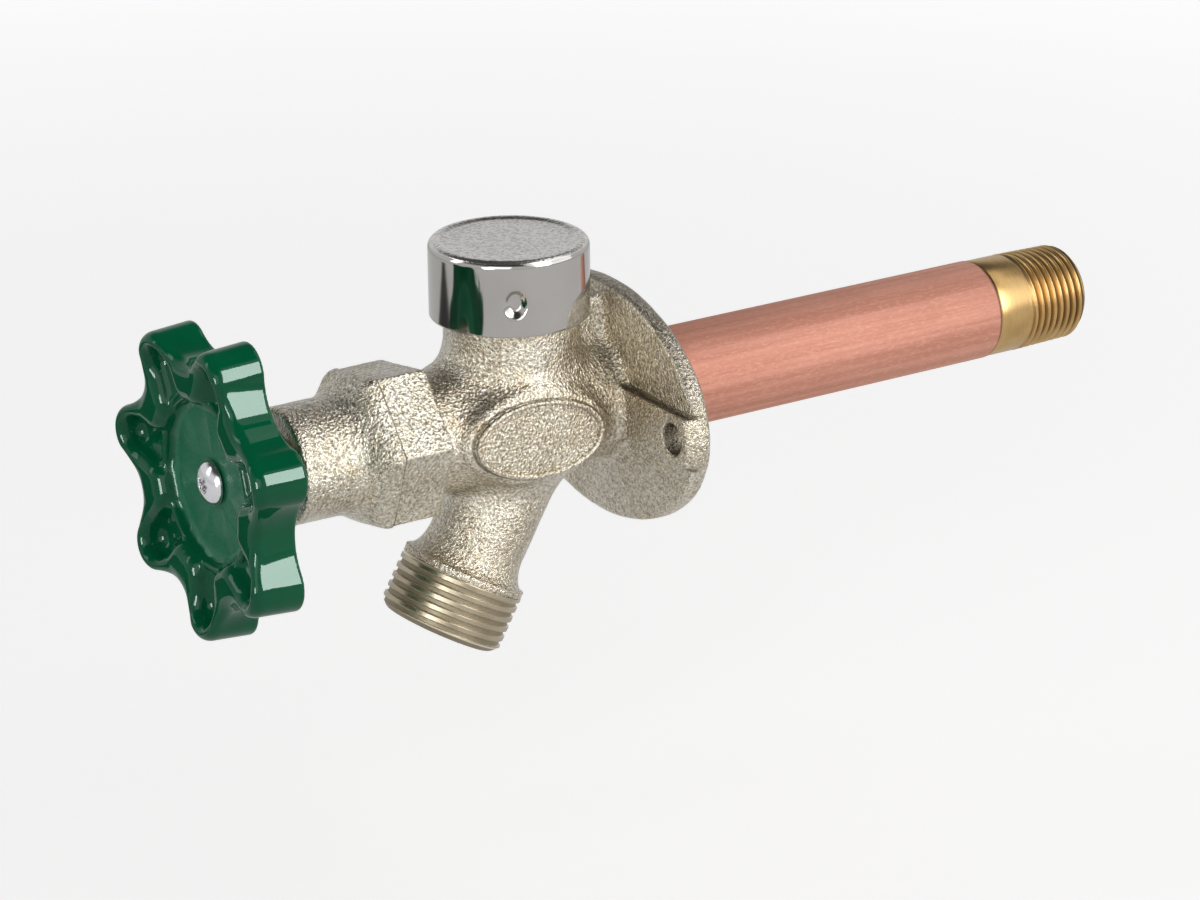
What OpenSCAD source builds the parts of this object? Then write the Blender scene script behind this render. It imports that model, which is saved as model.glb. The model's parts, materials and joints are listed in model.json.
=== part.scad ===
// Frost free sillcock: an outdoor tap whose seat sits at the warm inner end of a copper tube.
// Origin: centre of the flange's wall face, on the tube axis. +Y runs along the tube into
// the wall, +Z is up and the handle faces -Y. The valve is drawn closed.
// Sizes named _out are distances from the wall face towards the handle, along -Y.

/* [Wall flange] */
// Width of the oval flange
flange_w = 75; // [68:1:90]
// Height of the oval flange
flange_h = 52; // [46:1:62]
// Thickness of the flange at its half moon pockets
flange_t = 4; // [3:0.5:6]
// Height of the raised band across the flange
band_h = 11; // [9:0.5:15]
// How far the band stands proud of the pockets
band_raise = 1.9; // [1:0.1:3]
// Inset of the band from the flange's edge
band_inset = 0.6; // [0.4:0.1:1.5]
// Diameter of the two wall screw holes
screw_hole_d = 6.4; // [4:0.2:7]
// Distance from a screw hole's centre to the flange's end
screw_edge = 6.25; // [5.5:0.25:9]

/* [Body casting] */
// Outer diameter of the barrel
barrel_d = 26; // [24.5:0.5:30]
// Diameter of the water way along the barrel
main_bore_d = 17; // [14:0.5:18]
// Radius of the fillet where the barrel meets the flange
hub_fillet = 2; // [1:0.5:5]
// Length of barrel between the tower and the front face
mouth_gap = 5.6; // [4:0.1:9]
// Outer diameter of the vacuum breaker's tower
tower_d = 28; // [26:0.5:31]
// Wall round the vacuum breaker's chamber
tower_wall = 4; // [3:0.25:5]
// Casting between the water way and the float's shelf
shelf_wall = 5.5; // [4:0.5:7]
// Diameter of the port under the float
port_d = 12; // [9:0.5:13]
// Thickness of the web from the tower to the flange
rib_t = 5; // [3:0.5:8]
// Distance from the middle of the body to the cheek that carries the pad
cheek_w = 15.2; // [14.5:0.1:17]
// Length of the bare oval pad on the side
pad_l = 31; // [26:1:32]
// Height of the bare oval pad on the side
pad_h = 17; // [13:0.5:19]
// Width of the pad's rim
pad_rim_w = 1.3; // [0.8:0.1:2]
// How far each step of the pad stands proud of the one below
pad_step = 0.6; // [0.4:0.1:1]
// Tilt of the pad, its front end up
pad_tilt = 4.5; // [0:0.5:8]

/* [Spout] */
// Angle of the spout from straight down, towards the handle
spout_tilt = 29.5; // [22:0.5:36]
// Length from the tube axis to the outlet
spout_len = 50.7; // [47:0.1:62]
// Outer diameter of the spout's neck
neck_d = 21; // [19:0.5:23]
// Bore of the spout
spout_bore_d = 15.5; // [12:0.5:16]
// Clear space between the spout's neck and the flange's band
spout_flange_gap = 3; // [1:0.5:6]
// Outer diameter of the hose thread
hose_thread_d = 27; // [25:0.5:30]
// Length of the hose thread
hose_thread_l = 12.5; // [10:0.5:15]
// Height of the collar's lip over the thread
collar_rise = 0.4; // [0.2:0.1:1.5]
// Thickness of the collar's lip
collar_t = 1.2; // [0.8:0.1:2]
// Length over which the neck flares to the collar
flare_l = 4; // [2:0.5:6]

/* [Copper tube] */
// Outer diameter of the tube
tube_d = 22.2; // [21:0.1:23]
// Wall of the tube
tube_wall = 1; // [0.8:0.1:1.4]
// Length of tube that shows behind the flange
tube_l = 96; // [80:1:330]
// Depth of the tube's socket in the body
tube_socket = 10; // [8:0.5:12]

/* [Inlet fitting] */
// Length of the plain shoulder
shoulder_l = 9; // [6:0.5:14]
// How much smaller the shoulder is than the tube, on the radius
shoulder_step = 0.3; // [0.1:0.1:0.6]
// Outer diameter of the pipe thread
pipe_thread_d = 21; // [20.2:0.1:21.2]
// Length of the pipe thread
pipe_thread_l = 16; // [12:0.5:20]
// Bore of the solder socket
inlet_d = 15.95; // [12.7:0.05:16.2]
// Depth of the solder socket
inlet_depth = 14; // [10:0.5:18]
// Length of the spigot inside the tube
spigot_l = 12; // [8:0.5:16]
// Diameter of the hole through the seat
seat_d = 9.6; // [8:0.2:10.6]
// Width of the seat's lip
seat_lip_w = 1.4; // [0.8:0.1:2]
// Height of the seat's lip
seat_lip_h = 1.2; // [0.8:0.1:2]

/* [Packing nut] */
// Hexagon across its flats
hex_af = 31.75; // [29:0.25:36]
// Length of the hexagon
hex_l = 15; // [12:0.5:20]
// Turn of the hexagon about the tube axis
hex_turn = 9.5; // [0:0.5:59.5]
// Height of the chamfer on the hexagon's corners
hex_chamfer = 4; // [2:0.5:5]
// Length of the round nose
nose_l = 20; // [17:0.5:26]
// Diameter of the round nose
nose_d = 24.8; // [22:0.2:27]
// Radius of the fillet from the nose to the hexagon
nose_fillet = 4; // [2:0.5:5]
// Diameter of the nut's thread in the body
nut_thread_d = 19.8; // [19:0.2:20.6]
// Length of the nut's thread in the body
nut_thread_l = 9.5; // [7:0.5:10]
// Thickness of the gasket under the hexagon
gasket_t = 1; // [0.5:0.1:1.5]
// Outer diameter of the gasket
gasket_d = 25; // [23:0.5:28]

/* [Stem seal] */
// Radial width of the packing
packing_w = 2.6; // [2:0.1:3.2]
// Length of the packing
packing_l = 4; // [3:0.5:5]
// Thickness of the packing washer
packing_washer_t = 1.5; // [1:0.1:2]
// Thickness of the gland ring at the nose's front
gland_t = 2.2; // [1.5:0.1:3]
// Thickness of the shelf behind the packing
packing_shelf = 3; // [2:0.5:4]

/* [Stem and rod] */
// Diameter of the stem through the packing
stem_d = 10; // [9:0.2:10.6]
// Diameter of the stem's lifting thread
lift_thread_d = 15; // [13:0.2:15.4]
// Length of the stem's lifting thread
lift_thread_l = 13; // [9:0.5:15]
// Travel of the stem in one full turn of the handle
lead = 6; // [3:0.5:8]
// Width of the square that drives the handle
square_w = 6.35; // [5.5:0.05:6.8]
// Diameter of the stem's tail, which holds the rod
tail_d = 12; // [11:0.5:12.6]
// Length of the tail behind the stem ring
tail_l = 12; // [9:0.5:14]
// Thickness of the stem's O-ring
o_ring_t = 2.2; // [1.6:0.1:2.6]
// Diameter of the operating rod
rod_d = 6.3; // [5.5:0.1:7]
// Diameter of the pin through the tail and rod
pin_d = 2; // [1.5:0.1:2.5]

/* [Seat washer] */
// Diameter of the seat washer
washer_d = 15.2; // [14.4:0.2:15.8]
// Thickness of the seat washer
washer_t = 4; // [3:0.5:5]
// Wall of the holder's cup round the washer
cup_wall = 1; // [0.7:0.1:1.2]
// How much of the washer stands out of the cup
washer_proud = 1; // [0.5:0.1:2]
// Length of the holder behind its cup
holder_l = 19; // [18:0.5:26]
// Diameter of the holder behind its cup
holder_d = 11; // [9.6:0.2:12]
// Thickness of a guide wing
wing_t = 2; // [1.5:0.1:3]
// Diameter of the washer screw's shank
washer_screw_d = 3.2; // [2.5:0.1:4]
// Diameter of the washer screw's head
washer_head_d = 6.4; // [5.6:0.2:7.2]

/* [Handle] */
// Number of lobes
lobes = 7; // [6:1:8]
// Diameter over the lobes
handle_d = 66.6; // [60:0.2:74]
// Width of a lobe
lobe_w = 12; // [10:0.5:13.5]
// Diameter at the bottom of the valleys
valley_d = 52; // [49:0.5:54]
// Turn of the first lobe from the side
lobe_turn = 18.5; // [0:0.5:51]
// Wall round the lobes' hollows and round the hollow back
handle_wall = 2.6; // [2:0.1:3.2]
// Depth of the wall at the lobe tips
rim_depth = 11.6; // [10:0.2:16]
// How far the lobe tips stand in front of the valleys
dish = 1.9; // [1:0.1:3]
// How much narrower the tips are at the front, on the radius
tip_draft = 1.9; // [0.5:0.1:2.5]
// Thickness of the web
web_t = 2.6; // [2:0.1:3.5]
// Distance from the wall's back edge to the web
web_set = 2.3; // [1:0.1:4]
// Diameter of the round dish, at the web
dish_d = 32.6; // [29:0.2:34]
// How much wider the dish is at its rim, on the radius
dish_flare = 1; // [0.4:0.1:1.6]
// Width of a lobe's hollow where it meets the dish
hollow_mouth = 8; // [7:0.2:9]
// Height of a hollow's floor over the web
hollow_rise = 0.6; // [0.2:0.1:1]
// Height of the sill between the dish and a hollow, over the web
sill_h = 2.7; // [1.5:0.1:3]
// Thickness of the sill at the web
sill_t = 2.6; // [2:0.1:3.2]
// Diameter of the hub
hub_d = 17; // [14:0.5:20]
// Space between the hub and the nut's nose
hub_gap = 2.5; // [1:0.5:4]
// Length of the hub behind the wall's back edge
hub_l = 7.4; // [4:0.2:9]

/* [Handle screw] */
// Diameter of the shank
screw_d = 4.8; // [4:0.1:5]
// Length of the shank
screw_l = 11; // [9:0.5:14]
// Diameter of the domed head
head_d = 9.6; // [8:0.2:11]
// Height of the domed head
head_h = 2.7; // [2:0.1:3.5]

/* [Vacuum breaker] */
// Diameter of the cap
cap_d = 33.6; // [32:0.2:38]
// Height of the cap
cap_h = 16.2; // [14:0.1:20]
// Height of the cap's lower edge over the tube axis
cap_base = 22.6; // [22.4:0.1:30]
// Sheet thickness of the cap
cap_wall = 0.9; // [0.6:0.1:1.2]
// Radius of the cap's top edge
cap_round = 1.6; // [1.3:0.1:3]
// Depth of the tower inside the cap
cap_overlap = 5.2; // [4:0.1:6]
// Space between the cap and the flange's band
cap_flange_gap = 2.7; // [1:0.1:6]
// Number of punched dimples that hold the cap
dimples = 3; // [3:1:6]
// Turn of the first dimple about the cap's axis
dimple_turn = -27; // [-90:1:90]
// Radius of the punch that makes a dimple
punch_r = 3; // [2:0.1:3.6]
// Depth of a dimple
dimple_depth = 1.1; // [0.6:0.1:1.6]
// Thickness of the retainer's rim
retainer_t = 3.6; // [3.2:0.1:4.5]
// Diameter of the air vent
vent_d = 9.2; // [7:0.2:10]
// Thickness of the float's disc
float_t = 1.8; // [1.2:0.1:2.5]
// Thickness of the float's rubber seal
seal_t = 1; // [0.6:0.1:1.5]
// Lift of the float
float_lift = 3; // [1.5:0.1:4]

/* [Hidden] */
$fn = 64;

// Clearances: soldered, screwed, turning, pushed together, and free
solder_gap = 0.05;
thread_gap = 0.05;
swivel_gap = 0.05;
push_gap = 0.1;
free_gap = 0.3;
// Clearance at the tips of the guide wings, and at the ends of a travel
wing_gap = 0.4;
stop_gap = 0.6;
// How far a cutting tool runs past a face, and how deep a fillet's foot sinks into its face
over = 1;
bite = 0.15;
// Straight pieces in a small arc
arc_steps = 6;

// Places along the tube axis, measured from the wall face towards the handle
band_out = flange_t + band_raise;
cap_r = cap_d / 2;
cap_in_r = cap_r - cap_wall;
tower_r = tower_d / 2;
tower_out = band_out + cap_flange_gap + cap_r;
spout_out = band_out + spout_flange_gap + neck_d / 2;
mouth_out = tower_out + tower_r + mouth_gap;
hex_out = mouth_out + gasket_t;
nose_out = hex_out + hex_l;
nose_end = nose_out + nose_l;

// Barrel, hexagon and flange
barrel_r = barrel_d / 2;
main_r = main_bore_d / 2;
mouth_r = nut_thread_d / 2 + thread_gap;
mouth_depth = nut_thread_l + stop_gap;
tube_r = tube_d / 2;
tube_in_r = tube_r - tube_wall;
screw_x = flange_w / 2 - screw_edge;
hex_r = hex_af / 2 / cos(30);
nose_r = nose_d / 2;
cheek_margin = 1;
pad_out = mouth_out - pad_l / 2 - cheek_margin - free_gap;

// Stem seal and stem
stem_r = stem_d / 2;
chamber_r = stem_r + free_gap + packing_w;
packing_out = nose_end - gland_t - packing_washer_t - packing_l;
shelf_out = packing_out - packing_shelf;
lift_r = lift_thread_d / 2;
nut_bore_r = lift_r + free_gap;
lift_front = shelf_out - lead - stop_gap;
lift_back = lift_front - lift_thread_l;
ring_land = 2 * o_ring_t;
o_ring_out = lift_back - ring_land / 2;
ring_root = nut_bore_r - push_gap - o_ring_t;
tail_front = lift_back - ring_land;
tail_end = tail_front - tail_l;
rod_r = rod_d / 2;
rod_stop = 2;
rod_front = tail_front - rod_stop;
pin_out = tail_end + tail_l / 2;

// Handle
hub_back = nose_end + hub_gap;
wall_back = hub_back + hub_l;
web_back = wall_back + web_set;
web_front = web_back + web_t;
tip_front = wall_back + rim_depth;
valley_front = tip_front - dish;
screw_land = 1.2;
square_front = web_front - screw_land;
screw_r = screw_d / 2;
tip_r = handle_d / 2;
lobe_r = lobe_w / 2;
lobe_c = tip_r - lobe_r;
valley_r = valley_d / 2;
half_step = 180 / lobes;
// Radius of the valley arc that runs smoothly into the lobes on both sides of it
dip_r = (lobe_c * lobe_c + valley_r * valley_r - 2 * lobe_c * valley_r * cos(half_step)
    - lobe_r * lobe_r) / (2 * (lobe_r - valley_r + lobe_c * cos(half_step)));
dip_c = valley_r + dip_r;
meet = atan2(dip_c * sin(half_step), dip_c * cos(half_step) - lobe_c);
dish_r = dish_d / 2;
hollow_r = lobe_r - handle_wall;
hollow_c = tip_r - tip_draft - handle_wall - hollow_r;

// Inlet end, measured from the wall face along the tube
seat_in = tube_l - spigot_l;
lip_in = seat_in - seat_lip_h;
shoulder_in = tube_l + shoulder_l;
inlet_end = shoulder_in + pipe_thread_l;
washer_face = lip_in - push_gap;
washer_back = washer_face - washer_t;
cup_floor = 3;
cup_back = washer_back - cup_floor;
holder_back = cup_back - holder_l;
button_r = rod_r - push_gap;
button_step = 0.8;
button_neck_r = button_r - button_step;
button_l = 4;
neck_l = 4;
cup_r = washer_d / 2 + push_gap + cup_wall;
washer_screw_bite = 3;
washer_screw_grip = cup_floor + washer_screw_bite;

// Vacuum breaker heights over the tube axis
float_bore_r = tower_r - tower_wall;
port_r = port_d / 2;
shelf_z = main_r + shelf_wall;
tower_top = cap_base + cap_overlap;
cap_top = cap_base + cap_h;
float_z = shelf_z + free_gap;
seal_z = float_z + float_t;
vent_lip_z = seal_z + seal_t + float_lift + free_gap;
vent_r = vent_d / 2;
retainer_r = cap_in_r - dimple_depth - push_gap;
dimple_z = tower_top + retainer_t / 2;
float_water_gap = 2.2;
float_r = float_bore_r - float_water_gap;
wing_reach = port_r - free_gap;
float_foot = max(tail_d / 2, main_r) + stop_gap;
vent_ring_w = 1.6;
vent_ring_h = 1;
guide_r = 2;
guide_step = 1;
float_wing_t = 1.6;
seal_groove = 1.8;
seal_deep = 1.3;
seal_mid = (float_bore_r + retainer_r) / 2;

function arc(c, r, a0, a1, n = arc_steps) =
    [for (i = [0:n]) let (a = a0 + (a1 - a0) * i / n) c + r * [cos(a), sin(a)]];

function oval(l, h, n = 72) =
    [for (i = [0:n - 1]) [l / 2 * cos(360 * i / n), h / 2 * sin(360 * i / n)]];

// Revolves: out from the wall, in along the tube, up the tower, down the spout
module turned_out(profile) rotate([90, 0, 0]) rotate_extrude() polygon(profile);
module turned_in(profile) rotate([-90, 0, 0]) rotate_extrude() polygon(profile);
module on_tower() translate([0, -tower_out, 0]) children();
module on_spout() translate([0, -spout_out, 0]) rotate([180 - spout_tilt, 0, 0]) children();

module ring_out(r_in, r_out, from, to)
    turned_out([[r_in, from], [r_out, from], [r_out, to], [r_in, to]]);

module ring_in(r_in, r_out, from, to)
    turned_in([[r_in, from], [r_out, from], [r_out, to], [r_in, to]]);

// A flat outline in the XZ plane, raised from the wall towards the handle
module raised_out(from, to) rotate([90, 0, 0]) translate([0, 0, from])
    linear_extrude(to - from) children();

// Valve body

module flange() {
    raised_out(0, flange_t) polygon(oval(flange_w, flange_h));
    raised_out(flange_t / 2, band_out) intersection() {
        polygon(oval(flange_w - 2 * band_inset, flange_h - 2 * band_inset));
        square([flange_w, band_h], center = true);
    }
}

module barrel() {
    foot = [barrel_r + hub_fillet, flange_t + hub_fillet - bite];
    turned_out(concat([[0, flange_t / 2], [barrel_r + hub_fillet, flange_t / 2]],
        arc(foot, hub_fillet, 270, 180), [[barrel_r, mouth_out], [0, mouth_out]]));
}

module tower() {
    sole_r = 4;
    belly = tower_r - sole_r;
    on_tower() rotate_extrude() polygon(concat([[0, -tower_r]],
        arc([tower_r - belly, belly - tower_r], belly, -90, 0), [[tower_r, tower_top], [0, tower_top]]));
}

module spout() {
    thread_s = spout_len - hose_thread_l;
    lip_s = thread_s - collar_t;
    thread_r = hose_thread_d / 2;
    lip_r = thread_r + collar_rise;
    lead_in = 0.8;
    flare = [for (i = [0:arc_steps]) let (t = i / arc_steps)
        [neck_d / 2 + (lip_r - neck_d / 2) * (1 - sqrt(1 - t * t)), lip_s - flare_l * (1 - t)]];
    on_spout() rotate_extrude() polygon(concat([[0, 0], [neck_d / 2, 0]], flare, [[lip_r, thread_s],
        [thread_r, thread_s], [thread_r, spout_len - lead_in], [thread_r - lead_in, spout_len],
        [0, spout_len]]));
}

module rib() {
    drop = 3;
    land = 2;
    crest = flange_h / 2 - drop;
    rotate([90, 0, 90]) linear_extrude(rib_t, center = true)
        polygon([[-flange_t / 2, 0], [-flange_t / 2, crest], [-flange_t - land, crest],
            [-tower_out, min(crest, cap_base - drop)], [-tower_out, 0]]);
}

module oval_boss(l, h, from, to)
    translate([from, -pad_out, 0]) rotate([-pad_tilt, 0, 0]) rotate([90, 0, 90])
        linear_extrude(to - from) polygon(oval(l, h));

module side_pad() {
    face = cheek_w + 2 * pad_step;
    cheek = 2 * cheek_margin;
    oval_boss(pad_l + cheek, pad_h + cheek, -cheek_w, cheek_w + pad_step);
    difference() {
        oval_boss(pad_l, pad_h, 0, face + pad_step);
        oval_boss(pad_l - 2 * pad_rim_w, pad_h - 2 * pad_rim_w, face, face + pad_step + over);
    }
}

module body_bores() {
    socket_r = tube_r + solder_gap;
    mouth_in = mouth_out - mouth_depth;
    turned_out([[0, -over], [socket_r, -over], [socket_r, tube_socket], [main_r, tube_socket],
        [main_r, mouth_in], [mouth_r, mouth_in], [mouth_r, mouth_out + over], [0, mouth_out + over]]);
    on_tower() rotate_extrude() polygon([[0, 0], [port_r, 0], [port_r, shelf_z],
        [float_bore_r, shelf_z], [float_bore_r, tower_top + over], [0, tower_top + over]]);
    on_spout() cylinder(h = spout_len + over, r = spout_bore_d / 2);
    for (side = [-1, 1])
        translate([side * screw_x, 0, 0]) ring_out(0, screw_hole_d / 2, -over, band_out + over);
}

module valve_body() color("#b9b09b") difference() {
    union() {
        flange();
        barrel();
        tower();
        spout();
        rib();
        side_pad();
    }
    body_bores();
}

// Packing nut and its seals

module hexagon() intersection() {
    rotate([90, 0, 0]) translate([0, 0, hex_out]) rotate(hex_turn)
        cylinder(h = hex_l, r = hex_r, $fn = 6);
    turned_out([[0, hex_out - over], [hex_r + over, hex_out - over],
        [hex_r + over, nose_out - hex_chamfer], [hex_r - hex_chamfer, nose_out], [0, nose_out]]);
}

module nose() {
    edge = 0.6;
    foot = [nose_r + nose_fillet, nose_out + nose_fillet - bite];
    turned_out(concat([[0, hex_out + hex_l / 2], [nose_r + nose_fillet, hex_out + hex_l / 2]],
        arc(foot, nose_fillet, 270, 180),
        [[nose_r, nose_end - edge], [nose_r - edge, nose_end], [0, nose_end]]));
}

module packing_nut() color("#b5ab96") difference() {
    union() {
        hexagon();
        nose();
        ring_out(0, nut_thread_d / 2, hex_out - gasket_t - nut_thread_l, hex_out + over);
    }
    tail = hex_out - gasket_t - nut_thread_l - over;
    turned_out([[0, tail], [nut_bore_r, tail], [nut_bore_r, shelf_out], [stem_r + free_gap, shelf_out],
        [stem_r + free_gap, packing_out], [chamber_r, packing_out], [chamber_r, nose_end + over],
        [0, nose_end + over]]);
}

module bonnet_gasket() color("#5a4632")
    ring_out(mouth_r + push_gap, gasket_d / 2, mouth_out, hex_out);

module stem_packing() color("#3c3c3c")
    ring_out(stem_r + swivel_gap, chamber_r - push_gap, packing_out, packing_out + packing_l);

module packing_washer() color("#c9a24a")
    ring_out(stem_r + push_gap, chamber_r - push_gap, packing_out + packing_l, nose_end - gland_t);

module gland_ring() color("#d8d2c4")
    ring_out(stem_r + free_gap, chamber_r - thread_gap, nose_end - gland_t, nose_end);

// Tube and inlet fitting

module inlet_tube() color("#c98b72")
    ring_in(tube_in_r, tube_r, -tube_socket, tube_l);

module inlet_fitting() color("#c2a45a") {
    seat_r = seat_d / 2;
    spigot_r = tube_in_r - solder_gap;
    shoulder_r = tube_r - shoulder_step;
    thread_r = pipe_thread_d / 2;
    lead_in = 0.7;
    socket_in = inlet_end - inlet_depth;
    turned_in([[seat_r, lip_in], [seat_r + seat_lip_w, lip_in], [seat_r + seat_lip_w, seat_in],
        [spigot_r, seat_in], [spigot_r, tube_l], [shoulder_r, tube_l], [shoulder_r, shoulder_in],
        [thread_r, shoulder_in], [thread_r, inlet_end - lead_in], [thread_r - lead_in, inlet_end],
        [inlet_d / 2, inlet_end], [inlet_d / 2, socket_in], [seat_r, socket_in]]);
}

// Handle: a scalloped wheel with a round dish and hollow lobes in its front

function turn(p, a) = [p[0] * cos(a) - p[1] * sin(a), p[0] * sin(a) + p[1] * cos(a)];

function lobed(inset) = [for (i = [0:lobes - 1]) let (a = lobe_turn + i * 360 / lobes)
    each [for (p = concat(
        arc([lobe_c, 0], lobe_r - inset, -meet, meet, 2 * arc_steps),
        arc(dip_c * [cos(half_step), sin(half_step)], dip_r + inset, meet + 180,
            2 * half_step + 180 - meet))) turn(p, a)]];

module handle_envelope() turned_out([[0, wall_back - over], [tip_r + over, wall_back - over],
    [tip_r + over, wall_back], [tip_r - tip_draft, tip_front], [valley_r - handle_wall / 2, valley_front],
    [0, valley_front]]);

module handle_dish() turned_out([[0, web_front], [dish_r, web_front], [dish_r + dish_flare, valley_front],
    [dish_r + dish_flare, tip_front], [0, tip_front]]);

// One lobe's hollow, from inside the dish to the wall at the tip
function hollow() = concat([[dish_r - over, -hollow_mouth / 2]],
    arc([hollow_c, 0], hollow_r, -90, 90, 2 * arc_steps), [[dish_r - over, hollow_mouth / 2]]);

module handle_hollows() difference() {
    for (i = [0:lobes - 1])
        raised_out(web_front + hollow_rise, tip_front + over)
            rotate(lobe_turn + i * 360 / lobes) polygon(hollow());
    ring_out(0, dish_r + sill_t, web_front, web_front + sill_h);
}

module handle_back() difference() {
    raised_out(wall_back - over, web_back) polygon(lobed(handle_wall));
    ring_out(0, hub_d / 2, hub_back, web_front);
}

module handle() color("#0b6b3f") difference() {
    union() {
        intersection() {
            raised_out(wall_back, tip_front) polygon(lobed(0));
            handle_envelope();
        }
        ring_out(0, hub_d / 2, hub_back, web_front);
    }
    handle_back();
    handle_dish();
    handle_hollows();
    raised_out(hub_back - over, square_front) square(square_w + 2 * push_gap, center = true);
    ring_out(0, screw_r + free_gap, square_front - over, web_front + over);
}

module handle_screw() color("#d9d9dc") {
    crown = 0.5;
    turned_out(concat([[0, web_front - screw_l], [screw_r, web_front - screw_l], [screw_r, web_front],
        [head_d / 2, web_front], [head_d / 2, web_front + crown]],
        [for (i = [1:arc_steps]) let (a = 90 * i / arc_steps)
            [head_d / 2 * cos(a), web_front + crown + (head_h - crown) * sin(a)]]));
}

// Stem, operating rod and seat washer

module stem() color("#c2a45a") difference() {
    union() {
        raised_out(hub_back, square_front - push_gap) square(square_w, center = true);
        turned_out([[0, tail_end], [tail_d / 2, tail_end], [tail_d / 2, tail_front],
            [lift_r, tail_front], [lift_r, o_ring_out - o_ring_t / 2],
            [ring_root, o_ring_out - o_ring_t / 2],
            [ring_root, o_ring_out + o_ring_t / 2], [lift_r, o_ring_out + o_ring_t / 2],
            [lift_r, lift_front], [stem_r, lift_front], [stem_r, hub_back - free_gap],
            [0, hub_back - free_gap]]);
        ring_out(0, square_w / 2 - push_gap, hub_back - over, hub_back + over);
    }
    ring_out(0, screw_r + thread_gap, web_front - screw_l - stop_gap, square_front);
    ring_out(0, rod_r + solder_gap, tail_end - over, rod_front);
    pin_hole();
}

module pin_hole() translate([0, -pin_out, 0]) rotate([0, 90, 0])
    cylinder(h = tail_d + 2 * over, r = pin_d / 2 + thread_gap, center = true);

module stem_o_ring() color("#1c1c1c") rotate([90, 0, 0]) rotate_extrude()
    translate([ring_root + o_ring_t / 2, o_ring_out]) circle(d = o_ring_t - push_gap);

module operating_rod() color("#c2a45a") difference() {
    rod_in = holder_back - free_gap;
    button_in = holder_back + neck_l;
    turned_in([[0, -rod_front], [rod_r, -rod_front], [rod_r, rod_in], [button_neck_r, rod_in],
        [button_neck_r, button_in + free_gap], [button_r, button_in + free_gap],
        [button_r, button_in + button_l], [0, button_in + button_l]]);
    pin_hole();
}

module rod_pin() color("#9a9a98") translate([0, -pin_out, 0]) rotate([0, 90, 0])
    cylinder(h = tail_d - 2 * push_gap, r = pin_d / 2, center = true);

module washer_holder() color("#b98f4c") difference() {
    union() {
        ring_in(0, holder_d / 2, holder_back, washer_back);
        ring_in(0, cup_r, cup_back, washer_face - washer_proud);
        for (i = [0:2]) rotate([0, 120 * i, 0]) translate([-wing_t / 2, holder_back + wing_t, 0])
            cube([wing_t, holder_l - 2 * wing_t, tube_in_r - wing_gap]);
    }
    ring_in(0, washer_d / 2 + push_gap, washer_back, washer_face);
    ring_in(0, button_neck_r + swivel_gap, holder_back - over, holder_back + neck_l);
    ring_in(0, button_r + free_gap, holder_back + neck_l, holder_back + neck_l + button_l + free_gap);
    ring_in(0, washer_screw_d / 2 + thread_gap, washer_back - washer_screw_grip - stop_gap, washer_face);
}

module seat_washer() color("#262626")
    ring_in(washer_screw_d / 2 + push_gap, washer_d / 2, washer_back, washer_face);

module washer_screw() color("#c9a24a") {
    head_t = 1.8;
    shank_r = washer_screw_d / 2;
    turned_in([[0, washer_back - washer_screw_grip], [shank_r, washer_back - washer_screw_grip],
        [shank_r, washer_face], [washer_head_d / 2, washer_face],
        [washer_head_d / 2, washer_face + head_t / 2], [washer_head_d / 3, washer_face + head_t],
        [0, washer_face + head_t]]);
}

// Vacuum breaker

module punches(r) for (i = [0:dimples - 1])
    rotate(dimple_turn + i * 360 / dimples)
        translate([cap_r + punch_r - dimple_depth, 0, dimple_z]) sphere(r);

module vacuum_breaker_cap() color("#cfcfd2") on_tower() difference() {
    union() {
        rotate_extrude() polygon(concat([[cap_in_r, cap_base], [cap_r, cap_base]],
            arc([cap_r - cap_round, cap_top - cap_round], cap_round, 0, 90),
            [[0, cap_top], [0, cap_top - cap_wall]],
            arc([cap_r - cap_round, cap_top - cap_round], cap_round - cap_wall, 90, 0)));
        intersection() {
            punches(punch_r + cap_wall);
            translate([0, 0, cap_base]) cylinder(h = cap_h, r = cap_r - cap_wall / 2);
        }
    }
    punches(punch_r);
}

module vacuum_breaker_retainer() color("#c9a24a") on_tower() difference() {
    spigot_r = float_bore_r - thread_gap;
    rim_top = tower_top + retainer_t;
    lip = vent_r + vent_ring_w;
    foot_z = vent_lip_z + vent_ring_h;
    wrench_slot = 3;
    rotate_extrude() polygon([[vent_r, vent_lip_z], [lip, vent_lip_z], [lip, foot_z],
        [spigot_r, foot_z], [spigot_r, tower_top], [retainer_r, tower_top],
        [retainer_r, rim_top], [vent_r, rim_top]]);
    rotate_extrude() translate([seal_mid - seal_groove / 2, tower_top - over])
        square([seal_groove, over + seal_deep]);
    translate([0, 0, rim_top]) cube([3 * cap_r, wrench_slot, retainer_t / 2], center = true);
}

module retainer_o_ring() color("#1c1c1c") on_tower() rotate_extrude()
    translate([seal_mid, tower_top + seal_deep / 2]) circle(d = seal_deep - thread_gap);

module vent_float() color("#e9e6dc") on_tower() {
    land_r = guide_r + guide_step;
    wing_top = float_z + float_t / 2;
    rotate_extrude() polygon([[0, float_z], [float_r, float_z], [float_r, seal_z], [land_r, seal_z],
        [land_r, seal_z + seal_t], [guide_r, seal_z + seal_t], [guide_r, tower_top], [0, tower_top]]);
    for (a = [0, 60, 120]) rotate(a) translate([0, 0, (float_foot + wing_top) / 2])
        cube([2 * wing_reach, float_wing_t, wing_top - float_foot], center = true);
}

module float_seal() color("#262626") on_tower() rotate_extrude()
    translate([guide_r + guide_step + push_gap, seal_z])
        square([float_r - guide_r - guide_step - 2 * push_gap, seal_t]);

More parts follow.
